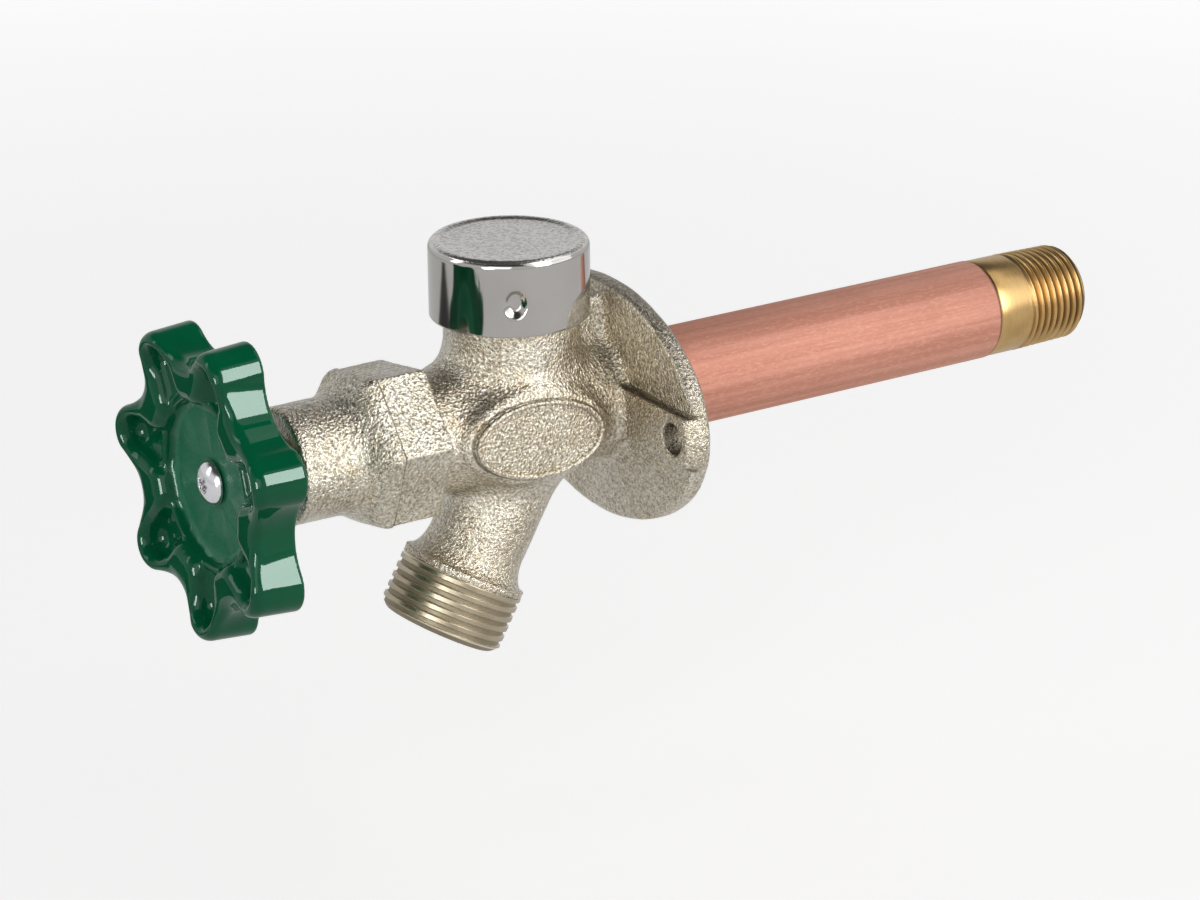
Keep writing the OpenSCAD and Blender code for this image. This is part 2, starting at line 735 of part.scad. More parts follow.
valve_body();
packing_nut();
bonnet_gasket();
stem_packing();
packing_washer();
gland_ring();
inlet_tube();
inlet_fitting();
handle();
handle_screw();
stem();
stem_o_ring();
operating_rod();
rod_pin();
washer_holder();
seat_washer();
washer_screw();
vacuum_breaker_cap();
vacuum_breaker_retainer();
retainer_o_ring();
vent_float();
float_seal();
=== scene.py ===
import json
import math
import bpy
import numpy as np
from mathutils import Matrix, Vector, noise


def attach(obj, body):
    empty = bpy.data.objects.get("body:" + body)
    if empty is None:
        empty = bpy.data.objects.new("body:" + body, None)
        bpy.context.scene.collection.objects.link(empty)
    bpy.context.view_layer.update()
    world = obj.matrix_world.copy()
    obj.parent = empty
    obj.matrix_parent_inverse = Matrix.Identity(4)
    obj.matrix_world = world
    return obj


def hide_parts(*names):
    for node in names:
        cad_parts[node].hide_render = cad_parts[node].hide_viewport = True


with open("model.json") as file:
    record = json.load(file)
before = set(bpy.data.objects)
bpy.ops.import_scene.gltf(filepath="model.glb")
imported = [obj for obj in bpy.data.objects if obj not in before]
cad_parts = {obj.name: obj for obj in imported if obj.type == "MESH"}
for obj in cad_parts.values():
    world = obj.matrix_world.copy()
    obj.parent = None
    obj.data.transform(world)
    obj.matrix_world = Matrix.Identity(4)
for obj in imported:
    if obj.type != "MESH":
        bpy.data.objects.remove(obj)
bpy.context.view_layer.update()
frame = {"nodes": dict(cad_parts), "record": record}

mm = 0.001
middle = (0, 0, 0)
tubeWay = (0, 1, 0)
upWay = (0, 0, 1)


# ways to join and cut solids that are written as distances, in millimetres

def softMin(a, b, k):                       # a join with a fillet of about k
    h = np.maximum(k - np.abs(a - b), 0) / k
    return np.minimum(a, b) - h * h * k / 4


def softMax(a, b, k):                       # an overlap with a rounded edge of about k
    return -softMin(-a, -b, k)


def slab(v, low, high):
    return np.maximum(low - v, v - high)


def ovalGap(u, v, a, b, least=1e-4, flattest=1e-6):   # distance to an oval of half axes a and b
    g = np.maximum(np.hypot(u / a, v / b), least)
    return (g - 1) * g / np.maximum(np.hypot(u / a ** 2, v / b ** 2), flattest)


def roundBox(a, b, r):                      # two distances that meet in an edge of radius r
    a, b = a + r, b + r
    return np.minimum(np.maximum(a, b), 0) + np.hypot(np.maximum(a, 0), np.maximum(b, 0)) - r


def ease(low, high, v):
    t = np.clip((v - low) / (high - low), 0, 1)
    return t * t * (3 - 2 * t)


def bored(*holes):                          # holes, each a distance to its wall and one to its ends
    return np.minimum.reduce([np.maximum(wall, ends) for wall, ends in holes])


def slope(field, p, d=0.04):                # gradient of a field at points p
    g = np.empty_like(p)
    for i in range(3):
        e = np.zeros(3)
        e[i] = d
        g[:, i] = (field(p + e) - field(p - e)) / (2 * d)
    return g


net = {"batch": 200000, "passes": 4, "share": 0.9, "flattest": 0.05}   # points at a time, then settling


def netSurface(field, low, high, step):     # a mesh of quads on the field's zero
    axes = [np.arange(a, b + step, step) for a, b in zip(low, high)]
    shape = tuple(len(a) for a in axes)
    grid = np.stack(np.meshgrid(*axes, indexing="ij"), -1).reshape(-1, 3)
    parts = np.array_split(grid, max(1, len(grid) // net["batch"]))
    value = np.concatenate([field(part) for part in parts]).reshape(shape)
    solid = value < 0
    corners = [np.array((i, j, k)) for i in (0, 1) for j in (0, 1) for k in (0, 1)]
    cells = tuple(n - 1 for n in shape)
    count = sum(solid[c[0]:c[0] + cells[0], c[1]:c[1] + cells[1], c[2]:c[2] + cells[2]].astype(np.int8)
                for c in corners)
    mixed = (count > 0) & (count < len(corners))
    index = np.full(cells, -1)
    spots = np.argwhere(mixed)
    index[mixed] = np.arange(len(spots))
    point, hits = np.zeros((len(spots), 3)), np.zeros(len(spots))
    for a in corners:
        for b in corners:
            if (b - a).min() < 0 or (b - a).sum() != 1:
                continue
            va = value[tuple((spots + a).T)]
            vb = value[tuple((spots + b).T)]
            cut = (va < 0) != (vb < 0)
            t = va[cut] / (va[cut] - vb[cut])
            point[cut] += spots[cut] + a + t[:, None] * (b - a)
            hits[cut] += 1
    point = np.array(low) + step * point / hits[:, None]
    quads = []
    for axis in range(3):
        u, v = (axis + 1) % 3, (axis + 2) % 3
        near = np.take(solid, range(shape[axis] - 1), axis)
        far = np.take(solid, range(1, shape[axis]), axis)
        for flip, edge in ((False, near & ~far), (True, ~near & far)):
            e = np.argwhere(edge)
            e = e[(e[:, u] > 0) & (e[:, v] > 0) & (e[:, u] < cells[u]) & (e[:, v] < cells[v])]
            du, dv = np.eye(3, dtype=int)[u], np.eye(3, dtype=int)[v]
            ring = [index[tuple((e - s).T)] for s in (du + dv, dv, 0 * du, du)]
            quads.append(np.stack(ring[::-1] if flip else ring, 1))
    quads = np.concatenate(quads)
    for _ in range(net["passes"]):          # settle each point on the true surface
        g = slope(field, point)
        move = field(point) / np.maximum((g * g).sum(1), net["flattest"])
        point -= np.clip(move, -step, step)[:, None] * g * net["share"]
    return point, quads


def grain(point, size, seed):               # lumpy noise, about -1 to 1
    return np.array([noise.noise(Vector(q) / size + Vector((seed, 0, 0))) for q in point])


skin = {"fine": 1.5, "fineHigh": 0.05, "wide": 7.0, "wideHigh": 0.10, "wideSeed": 40, "flattest": 0.3}


def sandCast(field, its):                   # a casting with a lumpy skin
    point, quads = netSurface(field, its["low"], its["high"], its["step"])
    g = slope(field, point)
    g /= np.maximum(np.linalg.norm(g, axis=1), skin["flattest"])[:, None]
    lump = skin["fineHigh"] * grain(point, skin["fine"], its["seed"])
    lump += skin["wideHigh"] * grain(point, skin["wide"], its["seed"] + skin["wideSeed"])
    return point + g * lump[:, None], quads


# meshes of rings, in millimetres

def around(columns):
    return np.arange(columns) * 2 * math.pi / columns


def ringQuads(rows, columns):               # faces of rows that close on themselves
    i, j = np.meshgrid(np.arange(rows), np.arange(columns), indexing="ij")
    i2, j2 = (i + 1) % rows, (j + 1) % columns
    quads = np.stack([i * columns + j, i * columns + j2, i2 * columns + j2, i2 * columns + j], -1)
    return quads.reshape(-1, 4)


def spun(rows, columns):                    # rows of (radius of each column, height)
    turn = around(columns)
    point = np.concatenate([np.stack([r * np.cos(turn), r * np.sin(turn), np.full(columns, h)], 1)
                            for r, h in rows])
    return point, ringQuads(len(rows), columns)


def plainRows(shape, columns):
    return [(np.full(columns, r), h) for r, h in shape]


def placed(point, origin, along, side=(1, 0, 0)):   # local z goes along, local x goes to side
    w = np.array(along, float)
    w /= np.linalg.norm(w)
    u = np.array(side, float) - w * np.dot(side, w)
    u /= np.linalg.norm(u)
    return np.array(origin) + point[:, :1] * u + point[:, 1:2] * np.cross(w, u) + point[:, 2:] * w


def makePiece(name, point, faces, finish, body, nodes=()):
    mesh = bpy.data.meshes.new(name)
    mesh.from_pydata((np.asarray(point) * mm).tolist(), [], np.asarray(faces).tolist())
    mesh.validate()
    mesh.polygons.foreach_set("use_smooth", [True] * len(mesh.polygons))
    mesh.materials.append(finish.material)
    piece = bpy.data.objects.new(name, mesh)
    bpy.context.scene.collection.objects.link(piece)
    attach(piece, body)
    if nodes:
        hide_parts(*nodes)
    print("piece", name, len(mesh.vertices), "points")
    return piece


# finishes

class Wire:                                 # a socket that can stand in a sum
    def __init__(self, finish, socket):
        self.finish = finish
        self.socket = socket

    def __add__(self, other):
        return self.finish.sums("ADD", self, other)

    def __radd__(self, other):
        return self.finish.sums("ADD", other, self)

    def __sub__(self, other):
        return self.finish.sums("SUBTRACT", self, other)

    def __rsub__(self, other):
        return self.finish.sums("SUBTRACT", other, self)

    def __mul__(self, other):
        return self.finish.sums("MULTIPLY", self, other)

    def __rmul__(self, other):
        return self.finish.sums("MULTIPLY", other, self)


class Finish:                               # a material's nodes, or those of a tree that is given
    def __init__(self, name, tree=None, coordinates="Object"):
        if tree is None:
            self.material = bpy.data.materials.new(name)
            self.material.use_nodes = True
            tree = self.material.node_tree
            tree.nodes.clear()
        self.tree = tree
        self.place = self.node("TexCoord", out=coordinates)

    def node(self, kind, settings=None, sockets=None, out=0):
        made = self.tree.nodes.new("ShaderNode" + kind)
        for key, value in (settings or {}).items():
            setattr(made, key, value)
        for key, value in (sockets or {}).items():
            self.feed(made.inputs[key], value)
        return Wire(self, made.outputs[out]) if made.outputs else None

    def feed(self, socket, value):
        if isinstance(value, Wire):
            self.tree.links.new(value.socket, socket)
        elif socket.type == "RGBA":
            socket.default_value = (*value, 1)
        else:
            socket.default_value = value

    def sums(self, operation, a, b):
        return self.node("Math", {"operation": operation}, {0: a, 1: b})

    def size(self, value):                  # a number without its sign
        return self.node("Math", {"operation": "ABSOLUTE"}, {0: value})

    def mixed(self, amount, a, b):          # a colour between two
        return self.node("Mix", {"data_type": "RGBA"}, {0: amount, 6: a, 7: b}, out=2)

    def layer(self, shade, mask, span, amount, tone):   # a tone where the mask is past a span
        return self.mixed(self.step(mask, *span) * amount, shade, tone)

    def lumps(self, size, detail=2.0, rough=0.5, stretch=None):   # noise of a size in millimetres
        at = self.place
        if stretch:
            at = self.node("Mapping", None, {"Vector": at, "Scale": stretch})
        return self.node("TexNoise", None, {"Vector": at, "Scale": 1 / mm / size, "Detail": detail,
                                            "Roughness": rough})

    def step(self, value, low, high):       # 0 at low, 1 at high
        return self.node("MapRange", {"interpolation_type": "SMOOTHSTEP"},
                         {"Value": value, "From Min": low, "From Max": high})

    def relief(self, height, depth, strength=1.0):   # a bump of a depth in millimetres
        return self.node("Bump", None, {"Height": height, "Distance": depth * mm, "Strength": strength})

    def away(self, root, along):            # distance from a line
        q = self.node("VectorMath", {"operation": "SUBTRACT"}, {0: self.place, 1: root})
        q = self.node("VectorMath", {"operation": "CROSS_PRODUCT"}, {0: q, 1: along})
        return self.node("VectorMath", {"operation": "LENGTH"}, {0: q}, out="Value")

    def reach(self, half, place=middle, turn=middle):   # 1 on the outline of an oval with these half axes
        q = self.node("Mapping", {"vector_type": "TEXTURE"},
                      {"Vector": self.place, "Location": place, "Rotation": turn, "Scale": half})
        return self.node("VectorMath", {"operation": "LENGTH"}, {0: q}, out="Value")

    def axis(self, letter):
        return self.node("SeparateXYZ", None, {"Vector": self.place}, out=letter)

    def rays(self):                         # masks of the rays seen, mirrored and let through
        path = self.node("LightPath").socket.node
        kinds = ("Camera", "Glossy", "Transmission")
        return [Wire(self, path.outputs["Is " + kind + " Ray"]) for kind in kinds]

    def close(self, shader):
        self.node("OutputMaterial", None, {"Surface": shader})
        return self

    def surface(self, **sockets):
        named = {key.replace("_", " "): value for key, value in sockets.items()}
        return self.close(self.node("BsdfPrincipled", None, named))


castLook = {"fine": (2.5, 0.6), "coarse": 2.6, "coarseShare": 0.5, "patch": 13, "patchSpan": (0.35, 0.68),
            "rust": 8, "rustDetail": 3.0, "paintedShade": (0.13, 0.105, 0.07), "paintedShadeAmount": 0.75,
            "rustLayer": {"span": (0.56, 0.74), "amount": 0.55, "tone": (0.52, 0.40, 0.24)},
            "pitLayer": {"span": (0.52, 0.32), "amount": 0.6, "tone": (0.17, 0.14, 0.09)},
            "glintLayer": {"span": (0.53, 0.66), "amount": 0.75, "tone": (0.92, 0.88, 0.77)},
            "rough": 0.17, "roughMore": 0.10}


def castPlate(name, light, dark, size, depth, shadeMask):   # nickel plate over a sand casting
    f, its = Finish(name), castLook
    fine, coarse = f.lumps(size, *its["fine"]), f.lumps(size * its["coarse"])
    patch, rust = f.lumps(its["patch"]), f.lumps(its["rust"], its["rustDetail"])
    shade = f.mixed(f.step(patch, *its["patchSpan"]), light, dark)
    shade = f.layer(shade, rust, **its["rustLayer"])
    shade = f.layer(shade, fine, **its["pitLayer"])
    shade = f.layer(shade, fine, **its["glintLayer"])
    # painted shade: a dark tone laid where the shade mask falls, in holes, creases and along edges
    shade = f.mixed(shadeMask(f) * its["paintedShadeAmount"], shade, its["paintedShade"])
    return f.surface(Base_Color=shade, Metallic=1.0, Roughness=its["rough"] + its["roughMore"] * fine,
                     Normal=f.relief(fine + its["coarseShare"] * coarse, depth))


turning = {"line": (1.0, 3.0, 0.6), "lineSpan": (0.3, 0.7), "patchSpan": (0.35, 0.7), "roughMore": 0.15,
           "strength": 0.6}                 # marks of a lathe


def turnedShade(f, streak, its, light, dark):   # streaked along one way, with wide patches
    lines, patch = f.lumps(*turning["line"], streak), f.lumps(its["patch"])
    amount = f.step(lines, *turning["lineSpan"]) * its["lineAmount"]
    amount = amount + f.step(patch, *turning["patchSpan"]) * its["patchAmount"]
    return lines, f.mixed(amount, light, dark)


turnedLook = {"patch": 9, "lineAmount": 0.5, "patchAmount": 0.4}


def machined(name, light, dark, rough, streak, depth=0.02):   # turned metal
    f = Finish(name)
    lines, shade = turnedShade(f, streak, turnedLook, light, dark)
    return f.surface(Base_Color=shade, Metallic=1.0, Roughness=rough + turning["roughMore"] * lines,
                     Normal=f.relief(lines, depth, turning["strength"]))


threadLook = {"patch": 6, "lineAmount": 0.4, "patchAmount": 0.5, "pit": (0.10, 0.075, 0.04),
              "edge": (0.90, 0.84, 0.70), "rough": 0.22, "roughPit": 0.2, "depth": 0.02}


def threaded(name, light, dark, root, along, span, streak, rootDarkening=0.8, shine=0.0):   # darker roots, and painted highlights along the crest edges
    f, its = Finish(name), threadLook
    lines, shade = turnedShade(f, streak, its, light, dark)
    deep, high = (radius * mm for radius in span)
    half = (deep + high) / 2
    out = f.away(root, along)
    pit = f.step(out, high, deep)
    shade = f.mixed(pit * rootDarkening, shade, its["pit"])
    # painted highlight: light lines on the flanks stand in for glints on the crest edges
    shade = f.mixed(f.step(out, deep, half) * f.step(out, high, half) * shine, shade, its["edge"])
    rough = its["rough"] + turning["roughMore"] * lines + its["roughPit"] * pit
    return f.surface(Base_Color=shade, Metallic=1.0, Roughness=rough,
                     Normal=f.relief(lines, its["depth"], turning["strength"]))


mouldedLook = {"detail": 3.0, "roughMore": 0.2, "depth": 0.03, "strength": 0.5}


def plainSolid(name, light, dark, rough, size):   # rubber, packing, moulded plastic
    f, its = Finish(name), mouldedLook
    speck = f.lumps(size, its["detail"])
    return f.surface(Base_Color=f.mixed(speck, light, dark), Roughness=rough + its["roughMore"] * speck,
                     Normal=f.relief(speck, its["depth"], its["strength"]))


# body casting

casting = {"flange": (37.5, 26.0), "plate": 4.0, "plateEdge": 1.3, "band": 5.9, "bandHalf": 5.5,
           "bandInset": 0.6, "bandEdge": 1.0, "bandFoot": 0.8, "sunk": 1.0,
           "screwX": 31.25, "screwR": 3.2, "screwEdge": 0.7,
           "barrel": 13.0, "barrelEdge": 1.2, "front": 49.0, "bore": 8.5, "boreFrom": 5.0, "mouth": 9.95,
           "mouthBack": 34.9, "socket": 11.15, "socketDeep": 10.0, "tower": 14.0, "towerOut": 25.4,
           "towerFoot": -6.0, "towerTop": 27.8, "towerEdge": 0.8, "float": 10.0, "port": 6.0, "shelf": 14.0,
           "webHalf": 2.3, "webTop": 23.0, "webFall": 0.12, "webFallFrom": 6.0, "webEdge": 1.5, "webEnd": 0.5,
           "spoutOut": 19.4, "tilt": 29.5, "neck": 10.5, "neckEdge": 0.5, "neckLap": 0.1, "lip": 13.4,
           "flareFrom": 30.5, "lipFrom": 36.6, "threadFrom": 38.2, "spoutBore": 7.75,
           "cheek": 15.2, "cheekMore": (1.2, 1.6), "cheekRise": 0.3, "cheekEdge": 2.4,
           "padOut": 28.2, "pad": (15.5, 8.5), "padTilt": 4.5, "padRise": 0.9, "padEdge": 0.6, "padFoot": 0.5,
           "fillets": (7, 4, 6, 4, 2.6),    # of tower, cheek, neck, web and flange
           "boreEdge": 0.5, "over": 3.0,
           "low": (-39, -53, -42), "high": (39, 1.5, 30), "step": 0.5, "seed": 3}
tilt, padTilt = math.radians(casting["tilt"]), math.radians(casting["padTilt"])
spoutAxis = np.array((0, -math.sin(tilt), -math.cos(tilt)))
spoutRoot = np.array((0, -casting["spoutOut"], 0))


def spoutPlace(p):                          # distance along the spout and from its axis
    q = p - spoutRoot
    s = q @ spoutAxis
    return s, np.linalg.norm(q - s[:, None] * spoutAxis, axis=1)


def padPlace(p):                            # the side pad's own length and height
    u, v = p[:, 1] + casting["padOut"], p[:, 2]
    return u * math.cos(padTilt) - v * math.sin(padTilt), u * math.sin(padTilt) + v * math.cos(padTilt)


def flangeField(x, o, z):                   # an oval plate with a raised band across
    its = casting
    wide, tall = its["flange"]
    inset = its["bandInset"]
    plate = softMax(ovalGap(x, z, wide, tall), slab(o, 0, its["plate"]), its["plateEdge"])
    band = softMax(ovalGap(x, z, wide - inset, tall - inset), np.abs(z) - its["bandHalf"], its["bandEdge"])
    band = softMax(band, slab(o, its["sunk"], its["band"]), its["bandEdge"])
    return softMin(plate, band, its["bandFoot"])


def webField(x, o, z):                      # a rib from the tower down to the flange
    its = casting
    crest = z - its["webTop"] + its["webFall"] * np.maximum(o - its["webFallFrom"], 0)
    web = softMax(np.abs(x) - its["webHalf"], np.maximum(crest, -z), its["webEdge"])
    return softMax(web, slab(o, its["sunk"], its["towerOut"]), its["webEnd"])


def neckField(s, t):                        # the spout, flared to its lip
    its = casting
    flare = np.clip((s - its["flareFrom"]) / (its["lipFrom"] - its["flareFrom"]), 0, 1)
    radius = its["neck"] + (its["lip"] - its["neck"]) * (1 - np.sqrt(1 - flare ** 2))
    return softMax(t - radius, slab(s, 0, its["threadFrom"] + its["neckLap"]), its["neckEdge"])


def bodyField(p):
    its = casting
    x, o, z = p[:, 0], -p[:, 1], p[:, 2]    # o runs out from the wall
    rho, towerRho = np.hypot(x, z), np.hypot(x, o - its["towerOut"])
    s, t = spoutPlace(p)
    u, v = padPlace(p)
    tower = softMax(towerRho - its["tower"], slab(z, its["towerFoot"], its["towerTop"]), its["towerEdge"])
    (long, high), (longMore, highMore) = its["pad"], its["cheekMore"]
    cheek = softMax(ovalGap(u, v, long + longMore, high + highMore),
                    np.abs(x) - its["cheek"] - its["cheekRise"], its["cheekEdge"])
    solid = softMax(rho - its["barrel"], slab(o, its["sunk"], its["front"]), its["barrelEdge"])
    parts = (tower, cheek, neckField(s, t), webField(x, o, z), flangeField(x, o, z))
    for part, fillet in zip(parts, its["fillets"]):
        solid = softMin(solid, part, fillet)
    pad = softMax(ovalGap(u, v, long, high), slab(x, 0, its["cheek"] + its["padRise"]), its["padEdge"])
    solid = softMin(solid, pad, its["padFoot"])
    over = its["over"]
    drill = bored((rho - its["bore"], slab(o, its["boreFrom"], its["front"] + over)),
                  (rho - its["socket"], slab(o, -over, its["socketDeep"])),
                  (rho - its["mouth"], slab(o, its["mouthBack"], its["front"] + over)),
                  (towerRho - its["float"], slab(z, its["shelf"], its["towerTop"] + over)),
                  (towerRho - its["port"], slab(z, 0, its["shelf"] + over)),
                  (t - its["spoutBore"], slab(s, 0, its["threadFrom"] + over)))
    solid = softMax(solid, -drill, its["boreEdge"])
    screws = np.hypot(np.abs(x) - its["screwX"], z) - its["screwR"]
    return softMax(solid, -screws, its["screwEdge"])


# where the body casting gets painted shade
bodyShade = {"ringIn": (0.985, 1.01), "ringOut": (1.055, 1.02), "ringSide": (0.0142, 0.0150),
            "screw": (0.0038, 0.0033), "footPast": 0.3, "foot": (0.00065, 0.0002),
            "footFront": (-0.0064, -0.0058), "footBack": (-0.0025, -0.0032),
            "rim": (0.972, 0.985), "rimAbove": (0.002, 0.008), "rimAmount": 0.6,
            "padFlat": 1.0, "rimFlat": 1000.0}   # half axes the way that hardly counts


def bodyPaintedShade(f):                          # painted shade round the bead, in the screw holes, along the band's foot and on the upper rim
    its, cast = bodyShade, casting
    (long, high), (wide, tall) = cast["pad"], cast["flange"]
    beadReach = f.reach((its["padFlat"], long * mm, high * mm),
                        (0, -cast["padOut"] * mm, 0), (-padTilt, 0, 0))
    ring = f.step(beadReach, *its["ringIn"]) * f.step(beadReach, *its["ringOut"])
    paintedShade = ring * f.step(f.axis("X"), *its["ringSide"])
    for side in (-1, 1):
        paintedShade = paintedShade + f.step(f.away((side * cast["screwX"] * mm, 0, 0), tubeWay), *its["screw"])
    height, out = f.axis("Z"), f.axis("Y")
    line = f.size(f.size(height) - (cast["bandHalf"] + its["footPast"]) * mm)
    foot = f.step(line, *its["foot"]) * f.step(out, *its["footFront"]) * f.step(out, *its["footBack"])
    rim = f.step(f.reach((wide * mm, its["rimFlat"], tall * mm)), *its["rim"])
    return paintedShade + foot + rim * f.step(height, *its["rimAbove"]) * its["rimAmount"]


castBody = castPlate("cast_body", light=(0.70, 0.65, 0.55), dark=(0.57, 0.505, 0.395), size=0.60, depth=0.50,
                     shadeMask=bodyPaintedShade)
point, quads = sandCast(bodyField, casting)
makePiece("body_casting", point, quads, castBody, "tap_body", ["valve_body"])


# raised line round the side pad

bead = {"round": 0.60, "inset": 0.6, "out": 1.15, "columns": 180, "rows": 12}


def beadPoints(its):
    turn = around(its["columns"])
    long, high = (half - its["inset"] for half in casting["pad"])
    out = np.stack([np.cos(turn) / long, np.sin(turn) / high])
    out /= np.linalg.norm(out, axis=0)
    rings = []
    for side in around(its["rows"]):
        u = long * np.cos(turn) + its["round"] * math.sin(side) * out[0]
        v = high * np.sin(turn) + its["round"] * math.sin(side) * out[1]
        x = np.full(its["columns"], casting["cheek"] + its["out"] + its["round"] * math.cos(side))
        y = u * math.cos(padTilt) + v * math.sin(padTilt) - casting["padOut"]
        z = v * math.cos(padTilt) - u * math.sin(padTilt)
        rings.append(np.stack([x, y, z], 1))
    return np.concatenate(rings)


facingOut = [0, 3, 2, 1]                    # order of corners that turns the faces out
quads = ringQuads(bead["rows"], bead["columns"])[:, facingOut]
makePiece("pad_bead", beadPoints(bead), quads, castBody, "tap_body")


# threads

def threadRows(its, start, end, tiny=1e-6):
    rows = []
    turn = np.arange(its["columns"]) / its["columns"]
    for h in np.arange(start, end + tiny, its["pitch"] / its["fine"]):
        phase = np.abs(((h / its["pitch"] - turn) % 1.0) - 0.5) * 2      # 0 on a crest, 1 in a root
        cut = its["depth"] * np.clip((phase - its["crest"]) / (its["root"] - its["crest"]), 0, 1)
        cut = cut * min(1, max(0.0, (h - start) / its["runOut"] + its["shallow"]))
        chamfer = its["radius"] - max(0, h - its["to"] + its["chamfer"])
        rows.append((np.minimum(its["radius"] - its["taper"] * (h - start) - cut, chamfer), h))
    return rows


hoseThread = {"from": 38.2, "to": 50.7, "radius": 13.5, "bore": 7.75, "pitch": 2.209, "depth": 0.6,
              "taper": 0.0, "runOut": 1.6, "shallow": 0.15, "crest": 0.44, "root": 0.60, "fine": 32,
              "chamfer": 1.5, "lastCut": 0.25, "under": 0.9, "face": 1.7, "boreEdge": 0.6,
              "pit": (12.9, 13.5), "columns": 160}


def hoseRows(its):
    before = [(its["bore"], its["from"]), (its["radius"] - its["under"], its["from"])]
    after = [(its["radius"] - its["face"], its["to"]), (its["bore"] + its["boreEdge"], its["to"]),
             (its["bore"], its["to"] - its["boreEdge"])]
    thread = threadRows(its, its["from"], its["to"] - its["lastCut"])
    return plainRows(before, its["columns"]) + thread + plainRows(after, its["columns"])


threadBrass = threaded("thread_brass", light=(0.53, 0.465, 0.345), dark=(0.38, 0.32, 0.22),
                       root=tuple(spoutRoot * mm), along=tuple(spoutAxis), span=hoseThread["pit"],
                       streak=(0.3, 2.0, 2.0), rootDarkening=0.45, shine=0.9)
point, quads = spun(hoseRows(hoseThread), hoseThread["columns"])
makePiece("hose_thread", placed(point, spoutRoot, spoutAxis), quads, threadBrass, "tap_body")


# inlet fitting

inlet = {"seat": 4.8, "lip": 6.2, "lipAt": 82.8, "seatAt": 84.0, "spigot": 10.05, "tubeEnd": 96.0,
         "joint": 0.02, "shoulder": 10.95, "threadFrom": 105.0, "to": 121.0, "radius": 11.0,
         "taper": 0.022, "pitch": 1.814, "depth": 1.15, "runOut": 0.9, "shallow": 0.15, "crest": 0.2,
         "root": 0.92, "fine": 12, "chamfer": 1.9, "lead": 0.2, "lastCut": 0.3, "socket": 7.975,
         "socketEdge": 0.5, "socketAt": 107.0, "pit": (9.6, 10.6), "columns": 144,
         "corner": ((0.5, 0.02), (0.12, 0.14), (0.0, 0.5), (0.0, 4.0)),   # inward, and past the tube
         "groove": ((0.0, 1.2), (0.1, 0.4))}   # inward, and short of the thread


def inletRows(its):
    before = [(its["seat"], its["lipAt"]), (its["lip"], its["lipAt"]), (its["lip"], its["seatAt"]),
              (its["spigot"], its["seatAt"]), (its["spigot"], its["tubeEnd"] - its["joint"])]
    before += [(its["shoulder"] - inward, its["tubeEnd"] + along) for inward, along in its["corner"]]
    before += [(its["shoulder"] - inward, its["threadFrom"] - short) for inward, short in its["groove"]]
    after = [(its["radius"] - its["chamfer"], its["to"]), (its["socket"] + its["socketEdge"], its["to"]),
             (its["socket"], its["to"] - its["socketEdge"]), (its["socket"], its["socketAt"]),
             (its["seat"], its["socketAt"])]
    thread = threadRows(its, its["threadFrom"] - its["lead"], its["to"] - its["lastCut"])
    return plainRows(before, its["columns"]) + thread + plainRows(after, its["columns"])


inletBrass = threaded("inlet_brass", light=(0.63, 0.42, 0.185), dark=(0.45, 0.28, 0.105), root=middle,
                      along=tubeWay, span=inlet["pit"], streak=(0.2, 4.0, 0.2))
point, quads = spun(inletRows(inlet), inlet["columns"])
makePiece("inlet_brass", placed(point, middle, tubeWay), quads, inletBrass, "tap_body",
          ["inlet_fitting"])


# copper tube

tube = {"inside": 10.1, "outside": 11.1, "from": -10.0, "to": 96.0, "edge": 0.35, "bevel": 0.1,
        "rings": (0.5, 48.0), "columns": 96}


def tubeShape(its):
    shape = [(its["inside"], its["from"]), (its["outside"], its["from"])]
    shape += [(its["outside"], at) for at in its["rings"]]
    ends = ((0, its["edge"]), (its["bevel"], its["bevel"]), (its["edge"], 0))   # inward, and short of the end
    shape += [(its["outside"] - inward, its["to"] - short) for inward, short in ends]
    return shape + [(its["inside"], its["to"])]


tubeLook = {"line": (0.5, 2.0, 0.6, (1.6, 0.03, 1.6)), "wide": (2.5, 2.0, 0.5, (1.4, 0.02, 1.4)),
            "speck": (0.45, 3.0, 0.6, (1.0, 0.3, 1.0)), "patch": 9, "light": (0.67, 0.36, 0.275),
            "dark": (0.55, 0.275, 0.20), "wideSpan": (0.3, 0.7),
            "patchLayer": {"span": (0.4, 0.75), "amount": 0.35, "tone": (0.56, 0.275, 0.20)},
            "speckLayer": {"span": (0.45, 0.75), "amount": 0.4, "tone": (0.80, 0.50, 0.40)},
            "gapShadeLayer": {"span": (0.0952, 0.0959), "amount": 0.8, "tone": (0.12, 0.07, 0.045)},
            "rough": 0.70, "roughMore": 0.14, "speckShare": 0.4, "depth": 0.04, "strength": 0.7}


def drawnCopper(its):
    f = Finish("copper")
    lines, wide = f.lumps(*its["line"]), f.lumps(*its["wide"])
    speck, patch = f.lumps(*its["speck"]), f.lumps(its["patch"])
    shade = f.mixed(f.step(wide, *its["wideSpan"]), its["light"], its["dark"])
    shade = f.layer(shade, patch, **its["patchLayer"])
    shade = f.layer(shade, speck, **its["speckLayer"])
    shade = f.layer(shade, f.axis("Y"), **its["gapShadeLayer"])   # painted shade of the dark gap where the tube meets the fitting
    return f.surface(Base_Color=shade, Metallic=1.0, Roughness=its["rough"] + its["roughMore"] * lines,
                     Normal=f.relief(lines + its["speckShare"] * speck, its["depth"], its["strength"]))


copper = drawnCopper(tubeLook)
point, quads = spun(plainRows(tubeShape(tube), tube["columns"]), tube["columns"])
makePiece("copper_tube", placed(point, middle, tubeWay), quads, copper, "tap_body", ["inlet_tube"])


# packing nut

